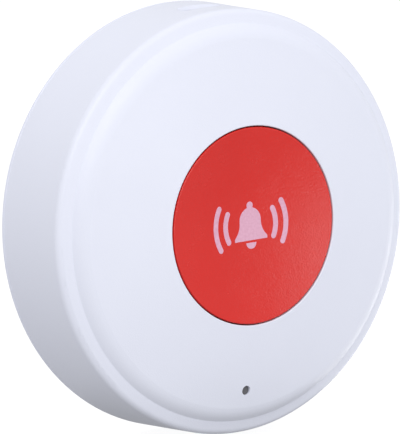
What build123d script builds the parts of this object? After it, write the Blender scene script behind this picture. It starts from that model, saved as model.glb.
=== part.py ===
"""Personal emergency alarm: a round white case with a big red call button, held with its back to a wall.

Millimetres. The origin is the centre of the back face, +Z is up and the face looks along -Y. A height is
measured from the back face towards the front, and a radius from the middle of the case.
"""

from build123d import *
from math import cos, radians, sin, sqrt
import os

# Case outline
back_radius = 32.0
wall_flare = 1.0
wall = 2.0
ledge_drop = 3.35
rim_width = 2.05
rim_fall = 0.6
rim_round = 1.15
crease_round = 0.25
shoulder_width = 2.1
shoulder_shift = 1.4
crown_sphere = 130.0
seam_height = 0.6
seam_bevel = 0.12
back_round = 0.2

# Clearances
gap_fine = 0.02
gap_slide = 0.1
gap_fit = 0.15
gap_key = 0.3

# Rear cover and its spigot
cover_thickness = 2.4
spigot_height = 2.2
spigot_wall = 1.7
seal_width = 1.2
seal_depth = 0.8
seal_from_cover = 0.5
seal_bevel = 0.2
cover_land = 3.763

# Coin cell
cell_thickness = 5.0
cell_cap_inset = 1.45
cell_cap_step = 0.45
cell_bevel = 0.35
cell_gap = 0.2

# Battery door: a bayonet turned with a coin
door_recess = 0.15
door_plate = 1.85
door_seat = 1.0
door_ring_gap = 1.4
door_ring_wall = 1.3
door_flange_width = 3.9
door_bevel = 0.25
lug_count = 3
lug_span = 30.0
lug_reach = 1.6
lug_thickness = 1.2
lug_first_angle = 90.0
door_turn = 45.0
turn_slack = 1.0
stop_slack = 1.5
door_seal_width = 1.0
door_seal_depth = 0.75
door_seal_proud = 0.07
coin_slot_length = 17.0
coin_slot_width = 2.2
coin_slot_depth = 0.9

# Battery holder and contacts
holder_wall = 1.7
holder_ledge = 1.4
holder_door_gap = 0.3
contact_height = 1.2
leaf_thickness = 0.2
leaf_width = 3.0
leaf_slot_margin = 0.3
leaf_bow = 0.55
leaf_share = 0.6
leaf_touch_share = 0.33
negative_foot_length = 4.0
positive_foot_length = 2.4

# Circuit board
board_thickness = 1.2
board_land = 1.0
post_radius = 2.1
post_gap = 0.5
board_post_angles = (90.0, 208.0, 332.0)
board_screw_radius = 0.8
board_screw_length = 5.0
board_head_radius = 1.7
board_head_height = 1.2
board_head_bevel = 0.2
drive_width = 0.45
drive_share = 0.62
drive_depth = 0.6

# Case screws
boss_count = 4
boss_radius = 2.3
boss_gap = 0.8
boss_first_angle = 45.0
case_screw_radius = 0.95
case_screw_length = 8.0
case_head_radius = 2.1
case_head_slope = 45.0
case_head_sink = 0.1
tip_gap = 0.8
rib_thickness = 1.0
rib_board_gap = 0.6

# Tact switch
switch_side = 6.0
switch_bevel = 0.5
switch_height = 3.5
switch_plate = 0.25
switch_tab_width = 2.4
switch_tab_drop = 1.6
stem_radius = 1.75
stem_reach = 0.8
stem_foot_radius = 2.3
stem_foot_height = 0.7
stem_well_floor = 0.7
terminal_thickness = 0.2
terminal_width = 0.7
terminal_pitch = 4.5
terminal_rise = 1.0
terminal_reach = 1.0
terminal_foot = 0.8

# Button cap
button_travel = 0.6
cap_share = 0.4453
cap_gap = 0.2
cap_round = 0.15
cap_centre = 2.1
cap_skin = 1.6
dish_depth = 1.2
dish_flat = 0.4
cap_skirt = 1.8
cap_boss_radius = 2.4
cap_rib_count = 6
cap_rib_thickness = 1.0
cap_rib_overlap = 0.6
cap_rib_cover = 0.55
stem_gap = 0.05
flange_width = 1.8
flange_thickness = 1.2
lip_thickness = 2.1
lip_round = 0.15
guide_wall = 1.4
key_count = 3
key_width = 1.6
key_depth = 0.75
key_first_angle = 30.0

# Return membrane
membrane_base = 1.4
membrane_foot = 2.1
membrane_web = 0.5
membrane_crown = 0.85
membrane_crown_width = 1.7

# Light hole, its pipe and its lamp
light_inset = 2.65
light_hole_radius = 0.7
light_recess = 0.35
pipe_radius = 1.5
pipe_step_depth = 2.5
pipe_tube_wall = 0.8
pipe_end = 0.3
lamp_length = 2.0
lamp_width = 1.25
lamp_base = 0.45
lamp_lens = 0.4
lamp_taper = 12.5

# Cord slot in the side wall
slot_angle = 96.6
slot_length = 7.0
slot_width = 2.4
slot_depth = 3.3
slot_edge = 0.35
slot_flare = 0.4
slot_flare_angle = 45.0
bar_width = 1.6
bar_thickness = 1.5
bar_sink = 0.5
slot_block_wall = 1.6

# Parts on the circuit board
radio_length = 9.0
radio_share = 0.58
radio_angle = 180.0
radio_board_thickness = 0.8
shield_margin = 0.4
shield_height = 1.4
shield_sheet = 0.2
chip_share = 0.48
chip_angle = 0.0
chip_height = 0.85
chip_mark_radius = 0.4
chip_mark_depth = 0.1
antenna_length = 5.0
antenna_width = 2.0
antenna_height = 1.0
antenna_end = 0.6
antenna_step = 0.1
antenna_angle = 20.0
crystal_length = 3.2
crystal_width = 2.5
crystal_base = 0.5
crystal_lid = 0.25
crystal_angle = 345.0
chip_part_length = 1.6
chip_part_width = 0.8
chip_part_height = 0.5
chip_part_spacing = 6.0
chip_part_run = 3
chip_part_angles = (70.0, 110.0, 252.0, 288.0)
small_round = 0.2

# Heights of the stack, from the back face to the edge of the button
cell_back = door_recess + door_plate + cell_gap
cell_front = cell_back + cell_thickness
board_back = cell_front + contact_height
board_front = board_back + board_thickness
stem_top = board_front + switch_height + stem_reach
cap_underside = stem_top + stem_gap
dish_floor = cap_underside + cap_centre
case_depth = dish_floor + dish_depth
ledge_height = case_depth - ledge_drop
rim_height = ledge_height - rim_fall

# Radii of the face, from the rim inwards
front_radius = back_radius - wall_flare
crease_radius = front_radius - rim_width
crown_edge = crease_radius - shoulder_width
inner_crown_edge = crown_edge - shoulder_shift

# Radii round the button
cap_radius = back_radius * cap_share
aperture_radius = cap_radius + cap_gap
flange_radius = cap_radius + flange_width
guide_inner = flange_radius + gap_key
guide_outer = guide_inner + guide_wall
lip_underside = case_depth - lip_thickness
flange_front = lip_underside - gap_slide
flange_back = flange_front - flange_thickness
guide_back = board_front + membrane_base


def level(height):
    """The plane parallel to the wall at this height: x to the right, y up, extrusions to the front."""
    return Plane((0, -height, 0), x_dir=(1, 0, 0), z_dir=(0, -1, 0))


def crown_height(radius):
    """Height of the domed face at this radius."""
    drop = sqrt(crown_sphere**2 - aperture_radius**2) - sqrt(crown_sphere**2 - radius**2)
    return case_depth - drop


def crown_slope(radius):
    """Direction of the domed face at this radius, going outwards."""
    return (sqrt(crown_sphere**2 - radius**2), -radius)


def wall_radius(height):
    """Outer radius of the tapered side wall at this height."""
    return back_radius - wall_flare * height / rim_height


def inner_radius(height):
    """Inner radius of the side wall at this height."""
    return wall_radius(height) - wall


def roof_height(radius):
    """Height of the inside of the face and its shoulder at this radius."""
    if radius < inner_crown_edge:
        return crown_height(radius) - wall
    share = (radius - inner_crown_edge) / (inner_corner[0] - inner_crown_edge)
    return inner_crown_end[1] + (inner_corner[1] - inner_crown_end[1]) * share


def polar(radius, angle):
    """The point at this radius and angle in a plane parallel to the wall."""
    return (radius * cos(radians(angle)), radius * sin(radians(angle)))


def corner(sketch, radius, height):
    """The vertex of a section nearest to this radius and height."""
    return sketch.vertices().sort_by_distance((radius, height))[0]


def ring_sector(inner, outer, middle, span):
    """Adds a piece of a ring to the sketch in hand, with its middle at this angle."""
    with BuildLine() as outline:
        inside = CenterArc((0, 0), inner, middle - span / 2, span)
        outside = CenterArc((0, 0), outer, middle - span / 2, span)
        Line(inside @ 0, outside @ 0)
        Line(inside @ 1, outside @ 1)
    make_face(outline.edges())


def slot_plane(reach):
    """The plane across the cord slot at this distance from the middle, with the slot's length along x."""
    across, along = polar(reach, slot_angle)
    return Plane((across, -slot_height, along), x_dir=(along, 0, -across), z_dir=(across, 0, along))


def spread(count, first):
    """The angles of an even pattern of so many places, from the first."""
    return [first + 360.0 * place / count for place in range(count)]


section = Plane((0, 0, 0), x_dir=(1, 0, 0), z_dir=(0, 0, -1))
middle_axis = Axis((0, 0, 0), (0, -1, 0))

# Sizes that follow from the case wall: the bosses stand inside the spigot, and the board goes round them
spigot_top = cover_thickness + spigot_height
spigot_outer = inner_radius(spigot_top) - gap_fit
spigot_inner = spigot_outer - spigot_wall
boss_reach = spigot_inner - boss_gap
screw_circle = boss_reach - boss_radius
board_radius = boss_reach + gap_fit + board_land
post_circle = guide_outer + post_gap + post_radius
board_ring = board_radius - guide_outer
chip_circle = guide_outer + board_ring / 2
light_circle = crown_edge - light_inset
block_half = slot_width / 2 + slot_block_wall
slot_height = spigot_top + gap_key + block_half

# Radii of the battery bay: the screws and the door's flange leave room for a coin cell of this size
cell_radius = screw_circle - case_head_radius - cover_land - door_flange_width - door_ring_wall - door_ring_gap
cell_cap_radius = cell_radius - cell_cap_inset
holder_inner = cell_radius + gap_fit
holder_outer = holder_inner + holder_wall
door_ring_inner = cell_radius + door_ring_gap
door_ring_outer = door_ring_inner + door_ring_wall
door_aperture = door_ring_outer + gap_fit
lug_radius = door_ring_outer + lug_reach
notch_radius = lug_radius + gap_fit
door_flange = door_ring_outer + door_flange_width
door_seat_radius = door_flange + gap_fit
door_inside = door_recess + door_plate
lug_back = cover_thickness + gap_slide
lug_front = lug_back + lug_thickness
holder_back = lug_front + holder_door_gap
door_seal_inner = notch_radius + (door_seat_radius - notch_radius - door_seal_width) / 2
lug_angles = spread(lug_count, lug_first_angle)
boss_angles = spread(boss_count, boss_first_angle)

os.makedirs("parts", exist_ok=True)

# Front shell: one section turned round the middle, then its posts, ribs, keys and cord slot
crown_start = (aperture_radius, case_depth)
crown_end = (crown_edge, crown_height(crown_edge))
crease = (crease_radius, ledge_height)
rim = (front_radius, rim_height)
inner_crown_start = (guide_outer, crown_height(guide_outer) - wall)
inner_crown_end = (inner_crown_edge, crown_height(inner_crown_edge) - wall)
inner_corner_height = ledge_height - wall
inner_corner = (inner_radius(inner_corner_height), inner_corner_height)
seam_outer = (wall_radius(seam_height), seam_height)
seam_inner = (inner_radius(seam_height), seam_height)

with BuildPart() as front_shell:
    with BuildSketch(section) as shell_section:
        with BuildLine():
            RadiusArc(crown_start, crown_end, crown_sphere)
            TangentArc(crown_end, crease, tangent=crown_slope(crown_edge))
            Polyline(
                crease,
                rim,
                seam_outer,
                seam_inner,
                inner_corner,
                inner_crown_end,
                inner_crown_start,
                (guide_outer, guide_back),
                (guide_inner, guide_back),
                (guide_inner, lip_underside),
                (aperture_radius, lip_underside),
                crown_start,
            )
        make_face()
        fillet(corner(shell_section, *rim), rim_round)
        fillet(corner(shell_section, *crease), crease_round)
        fillet(corner(shell_section, *crown_start), lip_round)
        chamfer(corner(shell_section, *seam_outer), seam_bevel)
    revolve(axis=middle_axis)
    # Screw bosses, each tied to the side wall by a rib
    boss_top = roof_height(boss_reach) + gap_key
    with BuildSketch(level(cover_thickness)):
        with PolarLocations(screw_circle, boss_count, boss_first_angle):
            Circle(boss_radius)
    extrude(amount=boss_top - cover_thickness)
    rib_back = board_front + rib_board_gap
    rib_length = wall_radius(rib_back) - wall / 2 - screw_circle
    with BuildSketch(level(rib_back)):
        with PolarLocations(screw_circle + rib_length / 2, boss_count, boss_first_angle):
            Rectangle(rib_length, rib_thickness)
    extrude(amount=inner_corner_height - rib_back)
    # Posts that the circuit board is screwed to
    post_top = roof_height(post_circle + post_radius) + gap_key
    with BuildSketch(level(board_front)):
        with Locations(*[polar(post_circle, angle) for angle in board_post_angles]):
            Circle(post_radius)
    extrude(amount=post_top - board_front)
    # Keys that stop the button from turning
    key_back = flange_back - button_travel - gap_key
    with BuildSketch(level(key_back)):
        with PolarLocations(guide_inner, key_count, key_first_angle):
            Rectangle(key_depth * 2, key_width)
    extrude(amount=lip_underside - key_back)
    # Tube that holds the light pipe, and the hole in the face
    pipe_back = guide_back + gap_fine
    tube_back = pipe_back + pipe_end
    tube_radius = pipe_radius + pipe_tube_wall
    tube_top = roof_height(light_circle + tube_radius) + gap_key
    pipe_step = crown_height(light_circle) - pipe_step_depth
    with BuildSketch(level(tube_back)):
        with Locations((0, -light_circle)):
            Circle(tube_radius)
    extrude(amount=tube_top - tube_back)
    with BuildSketch(level(guide_back)):
        with Locations((0, -light_circle)):
            Circle(pipe_radius + gap_fine)
    extrude(amount=pipe_step - guide_back, mode=Mode.SUBTRACT)
    with BuildSketch(level(pipe_step)):
        with Locations((0, -light_circle)):
            Circle(light_hole_radius)
    extrude(amount=case_depth - pipe_step, mode=Mode.SUBTRACT)
    # Thick block behind the cord slot, the slot with its flared mouth and the bar that the cord goes round
    slot_face = wall_radius(slot_height)
    block_inside = slot_face - slot_depth - slot_block_wall
    block_outside = slot_face - wall
    block_width = slot_length + slot_block_wall * 2
    with BuildSketch(level(slot_height - block_half)):
        with PolarLocations((block_inside + block_outside) / 2, 1, slot_angle):
            Rectangle(block_outside - block_inside, block_width)
    extrude(amount=block_half * 2)
    with BuildSketch(slot_plane(slot_face - slot_depth)):
        SlotOverall(slot_length, slot_width)
    extrude(amount=slot_depth * 2, mode=Mode.SUBTRACT)
    with BuildSketch(slot_plane(slot_face - slot_flare)):
        SlotOverall(slot_length, slot_width)
    extrude(amount=slot_flare * 2, taper=-slot_flare_angle, mode=Mode.SUBTRACT)
    with BuildSketch(slot_plane(slot_face - bar_sink - bar_thickness)):
        Rectangle(bar_width, slot_width + slot_edge * 2)
    extrude(amount=bar_thickness)
    # Pilot holes for both sets of screws
    case_pilot = case_screw_length + case_head_sink + tip_gap - cover_thickness
    with BuildSketch(level(cover_thickness)):
        with PolarLocations(screw_circle, boss_count, boss_first_angle):
            Circle(case_screw_radius + gap_fine)
    extrude(amount=case_pilot, mode=Mode.SUBTRACT)
    board_pilot = board_screw_length - board_thickness + tip_gap
    with BuildSketch(level(board_front)):
        with Locations(*[polar(post_circle, angle) for angle in board_post_angles]):
            Circle(board_screw_radius + gap_fine)
    extrude(amount=board_pilot, mode=Mode.SUBTRACT)
front_shell.part.label = "front_shell"
export_step(front_shell.part, "parts/front_shell.step")

# Rear cover: plate, rim, spigot with the seal's groove, and the door's seat with its bayonet notches
groove_back = cover_thickness + seal_from_cover
groove_front = groove_back + seal_width
groove_radius = spigot_outer - seal_depth
door_groove_outer = door_seal_inner + door_seal_width
door_groove_front = door_seat + door_seal_depth

with BuildPart() as rear_cover:
    with BuildSketch(section) as cover_section:
        with BuildLine():
            Polyline(
                (door_seat_radius, 0),
                (back_radius, 0),
                (wall_radius(seam_height), seam_height),
                (spigot_outer, seam_height),
                (spigot_outer, groove_back),
                (groove_radius, groove_back),
                (groove_radius, groove_front),
                (spigot_outer, groove_front),
                (spigot_outer, spigot_top),
                (spigot_inner, spigot_top),
                (spigot_inner, cover_thickness),
                (door_aperture, cover_thickness),
                (door_aperture, door_seat),
                (door_seal_inner, door_seat),
                (door_seal_inner, door_groove_front),
                (door_groove_outer, door_groove_front),
                (door_groove_outer, door_seat),
                (door_seat_radius, door_seat),
                close=True,
            )
        make_face()
        fillet(corner(cover_section, back_radius, 0), back_round)
        chamfer(corner(cover_section, wall_radius(seam_height), seam_height), seam_bevel)
        chamfer(corner(cover_section, door_seat_radius, 0), door_bevel)
    revolve(axis=middle_axis)
    # Notches that let the door's lugs in, and the stops that end its turn
    stop_from = door_turn + lug_span / 2 + stop_slack
    stop_to = 360.0 / lug_count - lug_span / 2 - stop_slack
    with BuildSketch(level(door_seat)):
        for angle in lug_angles:
            ring_sector(door_aperture - gap_fit, notch_radius, angle - door_turn, lug_span + turn_slack * 2)
    extrude(amount=cover_thickness - door_seat, mode=Mode.SUBTRACT)
    with BuildSketch(level(cover_thickness)):
        for angle in lug_angles:
            ring_sector(door_aperture, notch_radius, angle - (stop_from + stop_to) / 2, stop_to - stop_from)
    extrude(amount=lug_front - cover_thickness)
    # Countersunk holes for the case screws
    with BuildSketch(level(0)):
        with PolarLocations(screw_circle, boss_count, boss_first_angle):
            Circle(case_head_radius + gap_fit)
    extrude(amount=case_head_radius - case_screw_radius, taper=case_head_slope, mode=Mode.SUBTRACT)
    with BuildSketch(level(0)):
        with PolarLocations(screw_circle, boss_count, boss_first_angle):
            Circle(case_screw_radius + gap_fit)
    extrude(amount=cover_thickness, mode=Mode.SUBTRACT)
rear_cover.part.label = "rear_cover"
export_step(rear_cover.part, "parts/rear_cover.step")

# Seals: one round the spigot, one under the door's flange
with BuildPart() as case_seal:
    with BuildSketch(section) as seal_section:
        seal_wall = inner_radius(groove_front) - gap_fine
        with BuildLine():
            Polyline(
                (groove_radius + gap_fine, groove_back + gap_fine),
                (seal_wall, groove_back + gap_fine),
                (seal_wall, groove_front - gap_fine),
                (groove_radius + gap_fine, groove_front - gap_fine),
                close=True,
            )
        make_face()
        chamfer(seal_section.vertices(), seal_bevel)
    revolve(axis=middle_axis)
case_seal.part.label = "case_seal"
export_step(case_seal.part, "parts/case_seal.step")

with BuildPart() as door_seal:
    with BuildSketch(section) as door_seal_section:
        with BuildLine():
            Polyline(
                (door_seal_inner + gap_fine, door_seat - door_seal_proud),
                (door_groove_outer - gap_fine, door_seat - door_seal_proud),
                (door_groove_outer - gap_fine, door_groove_front),
                (door_seal_inner + gap_fine, door_groove_front),
                close=True,
            )
        make_face()
        chamfer(door_seal_section.vertices(), seal_bevel)
    revolve(axis=middle_axis)
door_seal.part.label = "door_seal"
export_step(door_seal.part, "parts/door_seal.step")

# Battery door: flange, ring with three lugs, and the slot for a coin
with BuildPart() as battery_door:
    with BuildSketch(section) as door_section:
        with BuildLine():
            Polyline(
                (0, door_recess),
                (door_flange, door_recess),
                (door_flange, door_seat - gap_slide),
                (door_ring_outer, door_seat - gap_slide),
                (door_ring_outer, lug_front),
                (door_ring_inner, lug_front),
                (door_ring_inner, door_inside),
                (0, door_inside),
                close=True,
            )
        make_face()
        chamfer(corner(door_section, door_flange, door_recess), door_bevel)
        chamfer(corner(door_section, door_ring_inner, door_inside), door_bevel)
    revolve(axis=middle_axis)
    with BuildSketch(level(lug_back)):
        for angle in lug_angles:
            ring_sector(door_ring_inner + gap_fit, lug_radius, angle, lug_span)
    extrude(amount=lug_thickness)
    with BuildSketch(level(door_recess)):
        SlotOverall(coin_slot_length, coin_slot_width)
    extrude(amount=coin_slot_depth, mode=Mode.SUBTRACT)
battery_door.part.label = "battery_door"
export_step(battery_door.part, "parts/battery_door.step")

# Coin cell: the can faces the door, the stepped cap faces the board
with BuildPart() as coin_cell:
    with BuildSketch(section) as cell_section:
        with BuildLine():
            Polyline(
                (0, cell_back),
                (cell_radius, cell_back),
                (cell_radius, cell_front - cell_cap_step),
                (cell_cap_radius, cell_front - cell_cap_step),
                (cell_cap_radius, cell_front),
                (0, cell_front),
                close=True,
            )
        make_face()
        chamfer(corner(cell_section, cell_radius, cell_back), cell_bevel)
        chamfer(corner(cell_section, cell_radius, cell_front - cell_cap_step), cell_bevel)
    revolve(axis=middle_axis)
coin_cell.part.label = "coin_cell"
export_step(coin_cell.part, "parts/coin_cell.step")

# Battery holder: a ring on the board with a ledge under the cell's rim and a gap for the side contact
with BuildPart() as battery_holder:
    with BuildSketch(section):
        with BuildLine():
            Polyline(
                (holder_inner, holder_back),
                (holder_outer, holder_back),
                (holder_outer, board_back),
                (holder_inner - holder_ledge, board_back),
                (holder_inner - holder_ledge, cell_front + gap_fine),
                (cell_cap_radius + gap_fit, cell_front + gap_fine),
                (cell_cap_radius + gap_fit, cell_front - cell_cap_step + gap_fine),
                (holder_inner, cell_front - cell_cap_step + gap_fine),
                close=True,
            )
        make_face()
    revolve(axis=middle_axis)
    with BuildSketch(level(holder_back)):
        with Locations((holder_outer, 0)):
            Rectangle((holder_outer - cell_cap_radius + holder_ledge) * 2, leaf_width + leaf_slot_margin * 2)
    extrude(amount=board_back - holder_back, mode=Mode.SUBTRACT)
battery_holder.part.label = "battery_holder"
export_step(battery_holder.part, "parts/battery_holder.step")

# Contacts: bent strips whose feet lie on the back of the board
foot_height = board_back - leaf_thickness / 2
with BuildPart() as positive_contact:
    touch_radius = cell_radius + gap_fit + leaf_thickness / 2
    with BuildSketch(section):
        with BuildLine():
            Polyline(
                (holder_outer + positive_foot_length, foot_height),
                (holder_outer, foot_height),
                (touch_radius + leaf_bow, cell_front),
                (touch_radius, (cell_front + holder_back) / 2),
                (touch_radius + leaf_bow, holder_back + leaf_thickness),
            )
        trace(line_width=leaf_thickness)
    extrude(amount=leaf_width / 2, both=True)
positive_contact.part.label = "positive_contact"
export_step(positive_contact.part, "parts/positive_contact.step")

with BuildPart() as negative_contact:
    leaf_half = cell_cap_radius * leaf_share
    touch_from = leaf_half * leaf_touch_share
    touch_height = cell_front + gap_fine + leaf_thickness / 2
    with BuildSketch(section):
        with BuildLine():
            Polyline(
                (-leaf_half, foot_height),
                (negative_foot_length - leaf_half, foot_height),
                (touch_from, touch_height + leaf_thickness / 2),
                (touch_from * 2, touch_height + leaf_thickness / 2),
                (leaf_half, (foot_height + touch_height) / 2),
            )
        trace(line_width=leaf_thickness)
    extrude(amount=leaf_width / 2, both=True)
negative_contact.part.label = "negative_contact"
export_step(negative_contact.part, "parts/negative_contact.step")

# Circuit board: a disc with a flat for the slot's block, holes for the bosses and for its own screws
with BuildPart() as circuit_board:
    with BuildSketch(level(board_back)):
        Circle(board_radius)
        with PolarLocations(screw_circle, boss_count, boss_first_angle):
            Circle(boss_radius + gap_fit, mode=Mode.SUBTRACT)
        with Locations(*[polar(post_circle, angle) for angle in board_post_angles]):
            Circle(board_screw_radius + gap_fit, mode=Mode.SUBTRACT)
        with PolarLocations(block_inside - gap_key, 1, slot_angle):
            flat_size = (back_radius, block_width + gap_key * 2)
            Rectangle(*flat_size, align=(Align.MIN, Align.CENTER), mode=Mode.SUBTRACT)
    extrude(amount=board_thickness)
circuit_board.part.label = "circuit_board"
export_step(circuit_board.part, "parts/circuit_board.step")


def cross_recess(height, places, head_radius):
    """Cuts a cross-shaped drive into the heads of the part in hand, from this height to the front."""
    cross_length = head_radius * 2 * drive_share
    with BuildSketch(level(height)) as cross:
        with Locations(*places):
            Rectangle(cross_length, drive_width)
            Rectangle(drive_width, cross_length)
    extrude(cross.sketch, amount=drive_depth, mode=Mode.SUBTRACT)


# Case screws: countersunk heads in the rear cover, shanks in the bosses
boss_places = [polar(screw_circle, angle) for angle in boss_angles]
with BuildPart() as case_screws:
    head_height = case_head_radius - case_screw_radius
    with BuildSketch(level(case_head_sink)):
        with Locations(*boss_places):
            Circle(case_head_radius)
    extrude(amount=head_height, taper=case_head_slope)
    with BuildSketch(level(case_head_sink)):
        with Locations(*boss_places):
            Circle(case_screw_radius)
    extrude(amount=case_screw_length)
    cross_recess(case_head_sink, boss_places, case_head_radius)
case_screws.part.label = "case_screws"
export_step(case_screws.part, "parts/case_screws.step")

# Board screws: flat heads on the back of the board, shanks in the posts
post_places = [polar(post_circle, angle) for angle in board_post_angles]
with BuildPart() as board_screws:
    with BuildSketch(level(board_back - board_head_height)):
        with Locations(*post_places):
            Circle(board_head_radius)
    extrude(amount=board_head_height)
    head_edges = board_screws.faces().filter_by(Plane.XZ).sort_by(Axis.Y)[-len(post_places) :].edges()
    chamfer(head_edges, board_head_bevel)
    with BuildSketch(level(board_back)):
        with Locations(*post_places):
            Circle(board_screw_radius)
    extrude(amount=board_screw_length)
    cross_recess(board_back - board_head_height, post_places, board_head_radius)
board_screws.part.label = "board_screws"
export_step(board_screws.part, "parts/board_screws.step")

# Tact switch: moulded body with a well, steel cover, stem and four terminals
switch_top = board_front + switch_height - switch_plate
with BuildPart() as switch_body:
    with BuildSketch(level(board_front)) as switch_outline:
        Rectangle(switch_side, switch_side)
        chamfer(switch_outline.vertices(), switch_bevel)
    extrude(amount=switch_height - switch_plate)
    with BuildSketch(level(board_front + stem_well_floor)):
        Circle(stem_foot_radius + gap_fit)
    extrude(amount=switch_height, mode=Mode.SUBTRACT)
switch_body.part.label = "switch_body"
export_step(switch_body.part, "parts/switch_body.step")

with BuildPart() as switch_cover:
    with BuildSketch(level(switch_top)) as cover_outline:
        Rectangle(switch_side, switch_side)
        chamfer(cover_outline.vertices(), switch_bevel)
    extrude(amount=switch_plate)
    tab_middle = (switch_side + switch_plate) / 2
    with BuildSketch(level(switch_top - switch_tab_drop)):
        with Locations((0, tab_middle), (0, -tab_middle)):
            Rectangle(switch_tab_width, switch_plate)
    extrude(amount=switch_tab_drop + switch_plate)
    with BuildSketch(level(switch_top)):
        Circle(stem_radius + gap_fit)
    extrude(amount=switch_plate, mode=Mode.SUBTRACT)
switch_cover.part.label = "switch_cover"
export_step(switch_cover.part, "parts/switch_cover.step")

with BuildPart() as switch_stem:
    stem_shoulder = switch_top - gap_fine
    stem_foot_back = stem_shoulder - stem_foot_height
    with BuildSketch(section) as stem_section:
        with BuildLine():
            Polyline(
                (0, stem_foot_back),
                (stem_foot_radius, stem_foot_back),
                (stem_foot_radius, stem_shoulder),
                (stem_radius, stem_shoulder),
                (stem_radius, stem_top),
                (0, stem_top),
                close=True,
            )
        make_face()
        fillet(corner(stem_section, stem_radius, stem_top), small_round)
    revolve(axis=middle_axis)
switch_stem.part.label = "switch_stem"
export_step(switch_stem.part, "parts/switch_stem.step")

with BuildPart() as switch_terminals:
    leg_foot = board_front + terminal_thickness / 2
    leg_inside = switch_side / 2
    leg_outside = leg_inside + terminal_reach
    for row in (-terminal_pitch / 2, terminal_pitch / 2):
        for side in (-1, 1):
            with BuildSketch(section.offset(-row)):
                with BuildLine():
                    Polyline(
                        (side * leg_inside, board_front + terminal_rise),
                        (side * leg_outside, board_front + terminal_rise),
                        (side * leg_outside, leg_foot),
                        (side * (leg_outside + terminal_foot), leg_foot),
                    )
                trace(line_width=terminal_thickness)
                leg_zone = (terminal_reach + terminal_foot) * 2
                with Locations((side * (leg_inside + leg_zone / 2), leg_foot)):
                    Rectangle(leg_zone, switch_height * 2, mode=Mode.INTERSECT)
            extrude(amount=terminal_width / 2, both=True)
switch_terminals.part.label = "switch_terminals"
export_step(switch_terminals.part, "parts/switch_terminals.step")

# Button cap: dished face, skirt, flange with slots for the keys, middle boss and ribs
dish_sphere = (cap_radius**2 + dish_depth**2) / (2 * dish_depth)
skirt_inner = flange_radius - cap_skirt * 2


def dish_height(radius):
    """Height of the button's dished face at this radius."""
    return dish_floor + dish_sphere - sqrt(dish_sphere**2 - radius**2)


with BuildPart() as button_cap:
    with BuildSketch(section) as cap_section:
        with BuildLine():
            gate_mark = (dish_flat, dish_height(dish_flat))
            RadiusArc(gate_mark, (cap_radius, case_depth), -dish_sphere)
            Polyline(
                (cap_radius, case_depth),
                (cap_radius, flange_front),
                (flange_radius, flange_front),
                (flange_radius, flange_back),
                (skirt_inner, flange_back),
                (skirt_inner, dish_height(skirt_inner) - cap_skin),
                (cap_boss_radius, dish_height(cap_boss_radius) - cap_skin),
                (cap_boss_radius, cap_underside),
                (0, cap_underside),
                (0, dish_height(dish_flat)),
                gate_mark,
            )
        make_face()
        fillet(corner(cap_section, cap_radius, case_depth), cap_round)
    revolve(axis=middle_axis)
    rib_middle = (cap_boss_radius + skirt_inner) / 2
    rib_run = skirt_inner - cap_boss_radius + cap_rib_overlap * 2
    with BuildSketch(level(cap_underside)):
        with PolarLocations(rib_middle, cap_rib_count):
            Rectangle(rib_run, cap_rib_thickness)
    extrude(amount=cap_centre - cap_rib_cover)
    with BuildSketch(level(flange_back)):
        with PolarLocations(guide_inner, key_count, key_first_angle):
            Rectangle((key_depth + gap_key) * 2, key_width + gap_key * 2)
    extrude(amount=flange_thickness, mode=Mode.SUBTRACT)
button_cap.part.label = "button_cap"
export_step(button_cap.part, "parts/button_cap.step")

# Return membrane: a silicone foot under the guide ring, a sloping web and a crown under the cap's flange
with BuildPart() as return_membrane:
    foot_outer = guide_outer - gap_fit
    foot_inner = foot_outer - membrane_foot
    crown_outer = cap_radius
    crown_inner = crown_outer - membrane_crown_width
    crown_top = flange_back - stem_gap
    crown_back = crown_top - membrane_crown
    with BuildSketch(section):
        with BuildLine():
            Polyline(
                (foot_inner, board_front),
                (foot_outer, board_front),
                (foot_outer, guide_back),
                (foot_inner + membrane_web, guide_back),
                (crown_outer, crown_back + membrane_web / 2),
                (crown_outer, crown_top),
                (crown_inner, crown_top),
                (crown_inner, crown_back),
                (crown_outer - membrane_web, crown_back - membrane_web / 2),
                (foot_inner, guide_back - membrane_web),
                close=True,
            )
        make_face()
    revolve(axis=middle_axis)
return_membrane.part.label = "return_membrane"
export_step(return_membrane.part, "parts/return_membrane.step")

# Light pipe and the lamp behind it
with BuildPart() as light_pipe:
    with BuildSketch(level(pipe_back)):
        with Locations((0, -light_circle)):
            Circle(pipe_radius)
    extrude(amount=pipe_step - pipe_back)
    with BuildSketch(level(pipe_step)):
        with Locations((0, -light_circle)):
            Circle(light_hole_radius - gap_fine)
    extrude(amount=pipe_step_depth - light_recess)
light_pipe.part.label = "light_pipe"
export_step(light_pipe.part, "parts/light_pipe.step")

with BuildPart() as indicator_led:
    with BuildSketch(level(board_front)):
        with Locations((0, -light_circle)):
            Rectangle(lamp_length, lamp_width)
    extrude(amount=lamp_base)
    with BuildSketch(level(board_front + lamp_base)):
        with Locations((0, -light_circle)):
            Circle(lamp_width / 2 - gap_fit)
    extrude(amount=lamp_lens, taper=lamp_taper)
indicator_led.part.label = "indicator_led"
export_step(indicator_led.part, "parts/indicator_led.step")

# Radio: a small board with a sheet-metal can on it, on the left of the button
radio_place = polar(chip_circle, radio_angle)
radio_width = board_ring * radio_share
with BuildPart() as radio_board:
    with BuildSketch(level(board_front)):
        with Locations(radio_place):
            Rectangle(radio_width, radio_length)
    extrude(amount=radio_board_thickness)
radio_board.part.label = "radio_board"
export_step(radio_board.part, "parts/radio_board.step")

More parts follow.
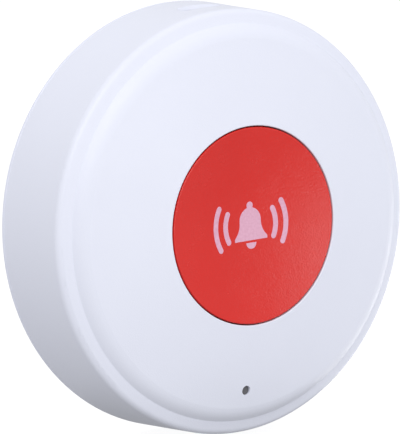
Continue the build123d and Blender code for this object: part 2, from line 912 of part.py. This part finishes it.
shield_back = board_front + radio_board_thickness
with BuildPart() as radio_shield:
    shield_size = (radio_width - shield_margin * 2, radio_length - shield_margin * 2)
    with BuildSketch(level(shield_back)):
        with Locations(radio_place):
            RectangleRounded(*shield_size, small_round * 2)
    extrude(amount=shield_height)
    shield_top = radio_shield.faces().sort_by(Axis.Y)[0]
    fillet(shield_top.edges(), small_round)
    inside_size = (shield_size[0] - shield_sheet * 2, shield_size[1] - shield_sheet * 2)
    with BuildSketch(level(shield_back)):
        with Locations(radio_place):
            RectangleRounded(*inside_size, small_round)
    extrude(amount=shield_height - shield_sheet, mode=Mode.SUBTRACT)
radio_shield.part.label = "radio_shield"
export_step(radio_shield.part, "parts/radio_shield.step")

# Microcontroller on the right, with the dot that marks its first pin
chip_place = polar(chip_circle, chip_angle)
chip_side = board_ring * chip_share
with BuildPart() as microcontroller:
    with BuildSketch(level(board_front)):
        with Locations(chip_place):
            Rectangle(chip_side, chip_side)
    extrude(amount=chip_height)
    mark_offset = chip_side / 2 - chip_mark_radius * 2
    with BuildSketch(level(board_front + chip_height - chip_mark_depth)):
        with Locations((chip_place[0] - mark_offset, mark_offset)):
            Circle(chip_mark_radius)
    extrude(amount=chip_mark_depth, mode=Mode.SUBTRACT)
microcontroller.part.label = "microcontroller"
export_step(microcontroller.part, "parts/microcontroller.step")


def on_ring(angle):
    """The place on the ring of board parts at this angle, turned to face the middle."""
    x, y = polar(chip_circle, angle)
    return Location((x, y, 0), (0, 0, angle))


# Chip antenna: a ceramic block with thicker metal ends
with BuildPart() as chip_antenna:
    with BuildSketch(level(board_front)):
        with Locations(on_ring(antenna_angle)):
            Rectangle(antenna_width, antenna_length)
    extrude(amount=antenna_height - antenna_step)
    end_offset = (antenna_length - antenna_end) / 2
    with BuildSketch(level(board_front)):
        with Locations(on_ring(antenna_angle)):
            with Locations((0, end_offset), (0, -end_offset)):
                Rectangle(antenna_width, antenna_end)
    extrude(amount=antenna_height)
chip_antenna.part.label = "chip_antenna"
export_step(chip_antenna.part, "parts/chip_antenna.step")

with BuildPart() as crystal:
    with BuildSketch(level(board_front)):
        with Locations(on_ring(crystal_angle)):
            Rectangle(crystal_width, crystal_length)
    extrude(amount=crystal_base)
    with BuildSketch(level(board_front + crystal_base)):
        with Locations(on_ring(crystal_angle)):
            RectangleRounded(crystal_width - small_round * 2, crystal_length - small_round * 2, small_round)
    extrude(amount=crystal_lid)
crystal.part.label = "crystal"
export_step(crystal.part, "parts/crystal.step")

# Resistors and capacitors in short runs between the bosses
with BuildPart() as chip_parts:
    with BuildSketch(level(board_front)):
        for run_angle in chip_part_angles:
            for step in range(chip_part_run):
                with Locations(on_ring(run_angle + (step - (chip_part_run - 1) / 2) * chip_part_spacing)):
                    Rectangle(chip_part_length, chip_part_width)
    extrude(amount=chip_part_height)
chip_parts.part.label = "chip_parts"
export_step(chip_parts.part, "parts/chip_parts.step")
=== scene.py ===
"""Looks of the personal emergency alarm: materials, bell sign, soft membrane, floor, light and camera."""

import math

import bmesh
import bpy
from mathutils import Matrix, Vector


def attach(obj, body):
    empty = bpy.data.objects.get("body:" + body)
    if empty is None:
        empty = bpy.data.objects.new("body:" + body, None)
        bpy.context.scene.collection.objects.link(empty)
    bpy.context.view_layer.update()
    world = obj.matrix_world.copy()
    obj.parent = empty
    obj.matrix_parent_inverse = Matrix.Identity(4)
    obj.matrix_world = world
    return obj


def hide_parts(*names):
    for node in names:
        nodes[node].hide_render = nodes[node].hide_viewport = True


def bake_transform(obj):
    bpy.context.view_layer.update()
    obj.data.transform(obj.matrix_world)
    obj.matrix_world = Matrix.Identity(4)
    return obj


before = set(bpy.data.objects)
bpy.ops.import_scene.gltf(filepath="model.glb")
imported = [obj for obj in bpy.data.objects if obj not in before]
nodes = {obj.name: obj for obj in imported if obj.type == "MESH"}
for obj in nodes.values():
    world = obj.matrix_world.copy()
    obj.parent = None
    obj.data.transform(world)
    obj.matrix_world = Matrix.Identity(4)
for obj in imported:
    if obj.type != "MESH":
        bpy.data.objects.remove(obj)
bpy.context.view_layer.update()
scene = bpy.context.scene
MM = 0.001
WHITE = (1.0, 1.0, 1.0, 1.0)
BLACK = (0.0, 0.0, 0.0, 1.0)


def add_object(name, data):
    """Puts a new object with this data in the scene."""
    thing = bpy.data.objects.new(name, data)
    scene.collection.objects.link(thing)
    return thing


def add_mesh(name, shape):
    """Puts a new object with this built shape in the scene."""
    data = bpy.data.meshes.new(name)
    shape.to_mesh(data)
    shape.free()
    return add_object(name, data)


# Materials
# Noise stays near its middle, so this range of its values is spread over the tones
NOISE_LOW = 0.3
NOISE_HIGH = 0.7


class Nodes:
    """A new material with one shader, and short calls for the nodes that feed it."""

    def __init__(self, name, **sockets):
        self.material = bpy.data.materials.new(name)
        self.material.use_nodes = True
        self.tree = self.material.node_tree
        self.tree.nodes.clear()
        output = self.tree.nodes.new("ShaderNodeOutputMaterial")
        self.shader = self.tree.nodes.new("ShaderNodeBsdfPrincipled")
        self.tree.links.new(self.shader.outputs[0], output.inputs[0])
        for socket, value in sockets.items():
            self.shader.inputs[socket.replace("_", " ")].default_value = value
        self.place = self.tree.nodes.new("ShaderNodeTexCoord").outputs["Object"]

    def stretched(self, scale):
        """The place, scaled by so much along each axis."""
        node = self.tree.nodes.new("ShaderNodeMapping")
        node.inputs["Scale"].default_value = scale
        self.tree.links.new(self.place, node.inputs["Vector"])
        return node.outputs[0]

    def noise(self, size, detail=2.0, place=None):
        """Noise with features of about this size in metres."""
        node = self.tree.nodes.new("ShaderNodeTexNoise")
        node.inputs["Scale"].default_value = 1.0 / size
        node.inputs["Detail"].default_value = detail
        self.tree.links.new(place or self.place, node.inputs["Vector"])
        return node.outputs["Fac"]

    def tint(self, value, tones):
        """The shader's colour, from the first tone to the second as the noise goes up."""
        node = self.tree.nodes.new("ShaderNodeValToRGB")
        for stop, position, tone in zip(node.color_ramp.elements, (NOISE_LOW, NOISE_HIGH), tones):
            stop.position = position
            stop.color = (*tone, 1.0)
        self.tree.links.new(value, node.inputs["Fac"])
        self.tree.links.new(node.outputs["Color"], self.shader.inputs["Base Color"])

    def roughen(self, value, middle, swing):
        """The shader's roughness, which swings about its middle with the noise."""
        node = self.tree.nodes.new("ShaderNodeMapRange")
        node.inputs["From Min"].default_value = NOISE_LOW
        node.inputs["From Max"].default_value = NOISE_HIGH
        node.inputs["To Min"].default_value = middle - swing
        node.inputs["To Max"].default_value = middle + swing
        self.tree.links.new(value, node.inputs["Value"])
        self.tree.links.new(node.outputs["Result"], self.shader.inputs["Roughness"])

    def bump(self, value, depth):
        """A bump of this depth in metres on the shader's normal."""
        node = self.tree.nodes.new("ShaderNodeBump")
        node.inputs["Distance"].default_value = depth
        node.inputs["Strength"].default_value = 1.0
        self.tree.links.new(value, node.inputs["Height"])
        self.tree.links.new(node.outputs[0], self.shader.inputs["Normal"])


# Sizes of what shows in the materials
TONE_DRIFT = 18 * MM
GLOSS_PATCH = 3 * MM
GLOSS_SWING = 0.05
METAL_DRIFT = 4 * MM
BRUSH_LINE = 0.25 * MM
BRUSH_DEPTH = 0.015 * MM
BRUSH_SWING = 0.08


def moulded(name, tones, rough, grain_size, grain_depth):
    """Moulded plastic: slow drift of tone, fine grain and uneven gloss."""
    look = Nodes(name)
    look.tint(look.noise(TONE_DRIFT, 3.0), tones)
    look.roughen(look.noise(GLOSS_PATCH, 4.0), rough, GLOSS_SWING)
    look.bump(look.noise(grain_size * MM), grain_depth * MM)
    return look.material


def brushed(name, tones, rough, stretch):
    """Metal with fine lines along one axis and a slow drift of tone."""
    look = Nodes(name, Metallic=1.0)
    lines = look.noise(BRUSH_LINE, 3.0, look.stretched(stretch))
    look.tint(look.noise(METAL_DRIFT, 3.0), tones)
    look.roughen(lines, rough, BRUSH_SWING)
    look.bump(lines, BRUSH_DEPTH)
    return look.material


# Two tones, roughness, and the grain's size and depth in millimetres
PLASTICS = {
    "case_white": (((0.792, 0.815, 0.928), (0.806, 0.830, 0.943)), 0.46, 0.18, 0.015),
    "button_red": (((0.680, 0.015, 0.010), (0.715, 0.019, 0.013)), 0.24, 0.3, 0.035),
    "silicone_grey": (((0.30, 0.30, 0.31), (0.36, 0.36, 0.37)), 0.6, 0.2, 0.03),
    "black_plastic": (((0.016, 0.016, 0.017), (0.026, 0.026, 0.028)), 0.5, 0.2, 0.02),
    "board_green": (((0.012, 0.085, 0.035), (0.020, 0.120, 0.050)), 0.4, 0.5, 0.03),
    "ceramic_pale": (((0.62, 0.58, 0.50), (0.72, 0.68, 0.60)), 0.45, 0.2, 0.015),
    "lamp_clear": (((0.10, 0.10, 0.11), (0.14, 0.14, 0.15)), 0.25, 0.3, 0.01),
}
# Two tones, roughness, and how much finer the lines are along each axis
METALS = {
    "screw_steel": (((0.50, 0.50, 0.52), (0.62, 0.62, 0.64)), 0.32, (1.0, 1.0, 8.0)),
    "sheet_steel": (((0.60, 0.60, 0.62), (0.72, 0.72, 0.74)), 0.28, (1.0, 6.0, 1.0)),
    "contact_metal": (((0.72, 0.66, 0.50), (0.82, 0.76, 0.60)), 0.30, (6.0, 1.0, 1.0)),
}
looks = {name: moulded(name, *values) for name, values in PLASTICS.items()}
looks.update((name, brushed(name, *values)) for name, values in METALS.items())
for part in nodes.values():
    for place in part.material_slots:
        place.material = looks[place.material.name.split(".")[0]]

# The button's dish, as the solids have it
DISH_FLOOR = 16.05 * MM
DISH_SPHERE = 85.204 * MM


def dish(x, z, lift):
    """The point of the button's dished face in front of this place, raised by lift."""
    height = DISH_FLOOR + DISH_SPHERE - math.sqrt(DISH_SPHERE**2 - x * x - z * z)
    return Vector((x, -height - lift, z))


# Bell sign printed on the button, in millimetres from its middle
INK = 0.03
SIGN_TURN = math.radians(4.6)
BELL_FOOT = -2.2
BELL_TOP = 3.44
KNOB_RADIUS = 0.55
KNOB_HEIGHT = 2.9
DOME_RADIUS = 1.9
DOME_HEIGHT = 0.7
FLARE_LENGTH = 2.45
FLARE_CURVE = 2.6
CLAPPER_RADIUS = 0.9
CLAPPER_HEIGHT = -2.55
CLAPPER_FOOT = -3.43
ARC_RADII = (4.5, 6.3)
ARC_HALF_SPAN = 0.56
ARC_HALF_WIDTH = 0.42
TIP = 0.03
ARC_TIP = 0.02


def turned(x, z):
    """This place of the upright sign, in metres on the turned one."""
    across = x * math.cos(SIGN_TURN) - z * math.sin(SIGN_TURN)
    along = x * math.sin(SIGN_TURN) + z * math.cos(SIGN_TURN)
    return across * MM, along * MM


def printed(mesh, rows):
    """Adds a patch of ink to the mesh: rows of places on the dish, with its edges sunk into the button."""
    grids = [
        [[mesh.verts.new(dish(*turned(x, z), lift * MM)) for x, z in row] for row in rows]
        for lift in (INK, -INK)
    ]
    top, base = grids
    last_row = len(rows) - 1
    last_column = len(rows[0]) - 1
    for i in range(last_row):
        for j in range(last_column):
            for grid in grids:
                mesh.faces.new((grid[i][j], grid[i][j + 1], grid[i + 1][j + 1], grid[i + 1][j]))
    border = [(0, j) for j in range(last_column)]
    border += [(i, last_column) for i in range(last_row)]
    border += [(last_row, j) for j in range(last_column, 0, -1)]
    border += [(i, 0) for i in range(last_row, 0, -1)]
    for (i, j), (m, n) in zip(border, border[1:] + border[:1]):
        mesh.faces.new((top[i][j], top[m][n], base[m][n], base[i][j]))


def chord(radius, offset):
    """Half the width of a circle this far from its middle, and none outside it."""
    return math.sqrt(max(radius**2 - offset**2, 0.0))


def bell_half_width(z):
    """Half the width of the bell at this height: knob, dome and flared skirt."""
    if z > DOME_HEIGHT:
        return max(chord(KNOB_RADIUS, z - KNOB_HEIGHT), chord(DOME_RADIUS, z - DOME_HEIGHT), TIP)
    return DOME_RADIUS + min((DOME_HEIGHT - z) / FLARE_LENGTH, 1.0) ** FLARE_CURVE


def clapper_half_width(z):
    """Half the width of the clapper's lower half, below the bell."""
    return max(chord(CLAPPER_RADIUS, z - CLAPPER_HEIGHT), TIP)


def strip(low, high, half_width, count, columns=10):
    """Rows across a shape that is even about its middle line, from the top down."""
    rows = []
    for i in range(count + 1):
        z = high + (low - high) * i / count
        rows.append([(half_width(z) * (2 * j / columns - 1), z) for j in range(columns + 1)])
    return rows


def sound_arc(radius, side, count=36):
    """Rows along one curved stroke beside the bell, with round ends."""
    rows = []
    cap = ARC_HALF_WIDTH / radius
    for i in range(count + 1):
        angle = -ARC_HALF_SPAN * math.cos(math.pi * i / count)
        into_cap = max(abs(angle) - ARC_HALF_SPAN + cap, 0.0) / cap
        half = max(ARC_HALF_WIDTH * chord(1.0, into_cap), ARC_TIP)
        reaches = [radius + half * t for t in (-1.0, -0.5, 0.0, 0.5, 1.0)]
        rows.append([(side * reach * math.cos(angle), reach * math.sin(angle)) for reach in reaches])
    return rows


sign_mesh = bmesh.new()
printed(sign_mesh, strip(BELL_FOOT, BELL_TOP, bell_half_width, 60))
printed(sign_mesh, strip(CLAPPER_FOOT, CLAPPER_HEIGHT, clapper_half_width, 20))
for radius in ARC_RADII:
    for side in (-1, 1):
        printed(sign_mesh, sound_arc(radius, side))
bmesh.ops.recalc_face_normals(sign_mesh, faces=sign_mesh.faces)
bell_sign = add_mesh("bell_sign", sign_mesh)
ink = Nodes("sign_print", Roughness=0.45)
ink.tint(ink.noise(0.35 * MM, 3.0), ((0.72, 0.38, 0.52), (0.80, 0.46, 0.61)))
ink.bump(ink.noise(0.12 * MM), 0.015 * MM)
bell_sign.data.materials.append(ink.material)
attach(bell_sign, "button")

# Soft membrane under the button, with its foot on the board: a copy of the return membrane, which is
# hidden
soft_membrane = add_object("soft_membrane", nodes["return_membrane"].data.copy())
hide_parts("return_membrane")
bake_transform(soft_membrane)

# Floor, round, with an edge that curves up into a wall
FLOOR = -32.0 * MM
FLOOR_MIDDLE = 0.3
FLOOR_REACH = 1.2
FLOOR_GLOW = 0.88
COVE = 0.8
COVE_TOP = 2.0
COVE_STEPS = 12
ROUND_STEPS = 96
MERGE = 1e-6
profile = [(0.0, 0.0), (FLOOR_MIDDLE, 0.0), (FLOOR_REACH, 0.0)]
for step in range(1, COVE_STEPS + 1):
    bend = math.pi / 2 * step / COVE_STEPS
    profile.append((FLOOR_REACH + COVE * math.sin(bend), COVE * (1.0 - math.cos(bend))))
profile.append((FLOOR_REACH + COVE, COVE_TOP))
floor_mesh = bmesh.new()
corners = [floor_mesh.verts.new((reach, 0.0, rise + FLOOR)) for reach, rise in profile]
for pair in zip(corners, corners[1:]):
    floor_mesh.edges.new(pair)
bmesh.ops.spin(
    floor_mesh,
    geom=floor_mesh.verts[:] + floor_mesh.edges[:],
    axis=(0, 0, 1),
    cent=(0, 0, 0),
    angle=math.tau,
    steps=ROUND_STEPS,
    use_merge=True,
)
bmesh.ops.remove_doubles(floor_mesh, verts=floor_mesh.verts, dist=MERGE)
bmesh.ops.recalc_face_normals(floor_mesh, faces=floor_mesh.faces)
floor = add_mesh("floor", floor_mesh)
floor.data.shade_smooth()
floor_look = Nodes("floor_pale", Roughness=0.9, Emission_Color=WHITE, Emission_Strength=FLOOR_GLOW)
floor_look.tint(floor_look.noise(0.3), ((0.20, 0.20, 0.20), (0.22, 0.22, 0.22)))
floor.data.materials.append(floor_look.material)
floor.visible_diffuse = False
floor.visible_glossy = False
floor.visible_shadow = False

# Card on the floor under the case, out of the camera's sight, for the shade near where it stands
CARD_WIDE = 27.0 * MM
CARD_DEEP = 20.0 * MM
CARD_PLACE = Vector((0.0, -9.0 * MM, FLOOR - 0.2 * MM))
CARD_GLOW = 0.38
card_mesh = bmesh.new()
bmesh.ops.create_circle(card_mesh, cap_ends=True, segments=64, radius=1.0)
bmesh.ops.scale(card_mesh, vec=(CARD_WIDE, CARD_DEEP, 1.0), verts=card_mesh.verts)
shade_card = add_mesh("shade_card", card_mesh)
shade_card.location = CARD_PLACE
card_look = Nodes(
    "card_grey",
    Base_Color=BLACK,
    Specular_IOR_Level=0.0,
    Emission_Color=WHITE,
    Emission_Strength=CARD_GLOW,
)
shade_card.data.materials.append(card_look.material)
shade_card.visible_camera = False

# Light: an even change from below to above all round, and three soft lamps
ABOVE = (0.854, 0.854, 0.854, 1.0)
BELOW = (0.457, 0.457, 0.468, 1.0)
scene.world = bpy.data.worlds.new("studio")
scene.world.use_nodes = True
sky = scene.world.node_tree
sky.nodes.clear()
sky_place = sky.nodes.new("ShaderNodeTexCoord")
sky_split = sky.nodes.new("ShaderNodeSeparateXYZ")
sky_height = sky.nodes.new("ShaderNodeMapRange")
sky_height.inputs["From Min"].default_value = -1.0
sky_band = sky.nodes.new("ShaderNodeValToRGB")
sky_band.color_ramp.elements[0].color = BELOW
sky_band.color_ramp.elements[1].color = ABOVE
sky_light = sky.nodes.new("ShaderNodeBackground")
sky_out = sky.nodes.new("ShaderNodeOutputWorld")
sky.links.new(sky_place.outputs["Generated"], sky_split.inputs[0])
sky.links.new(sky_split.outputs["Z"], sky_height.inputs["Value"])
sky.links.new(sky_height.outputs["Result"], sky_band.inputs["Fac"])
sky.links.new(sky_band.outputs["Color"], sky_light.inputs["Color"])
sky.links.new(sky_light.outputs[0], sky_out.inputs[0])

LIT_POINT = Vector((0.0, -12.0, 0.0)) * MM


def softbox(name, place, size, power):
    """A square lamp at this place, aimed at the case."""
    data = bpy.data.lights.new(name, "AREA")
    data.size = size
    data.energy = power
    light = add_object(name, data)
    light.location = place
    light.rotation_euler = (Vector(place) - LIT_POINT).to_track_quat("Z", "Y").to_euler()


softbox("key_light", (-0.48, -0.52, 0.505), 0.5, 2.44)
softbox("side_light", (0.74, 0.08, -0.25), 0.4, 1.27)
softbox("sheen_light", (0.19, -0.78, 0.03), 0.36, 0.92)

# Camera, placed from the middle of the button's face
AZIMUTH = math.radians(-35.68)
ELEVATION = math.radians(6.15)
TILT = math.radians(0.89)
BUTTON_CENTRE = Vector((0.0, -17.0, 0.0)) * MM
CAMERA_BACK = 316.3 * MM
CAMERA_LEFT = 7.79 * MM
CAMERA_UP = 1.26 * MM
level_back = Vector((math.sin(AZIMUTH), -math.cos(AZIMUTH), 0.0))
level_right = Vector((math.cos(AZIMUTH), math.sin(AZIMUTH), 0.0))
back = level_back * math.cos(ELEVATION) + Vector((0.0, 0.0, math.sin(ELEVATION)))
right = level_right * math.cos(TILT) + back.cross(level_right) * math.sin(TILT)
up = back.cross(right)
camera_data = bpy.data.cameras.new("camera")
camera_data.lens = 182.5
camera_data.sensor_width = 36.0
camera_data.clip_start = 0.01
camera_data.clip_end = 20.0
camera = add_object("camera", camera_data)
camera.matrix_world = Matrix((right, up, back)).transposed().to_4x4()
camera.location = BUTTON_CENTRE + back * CAMERA_BACK - right * CAMERA_LEFT + up * CAMERA_UP
scene.camera = camera
scene.view_settings.view_transform = "Standard"

bpy.context.view_layer.update()
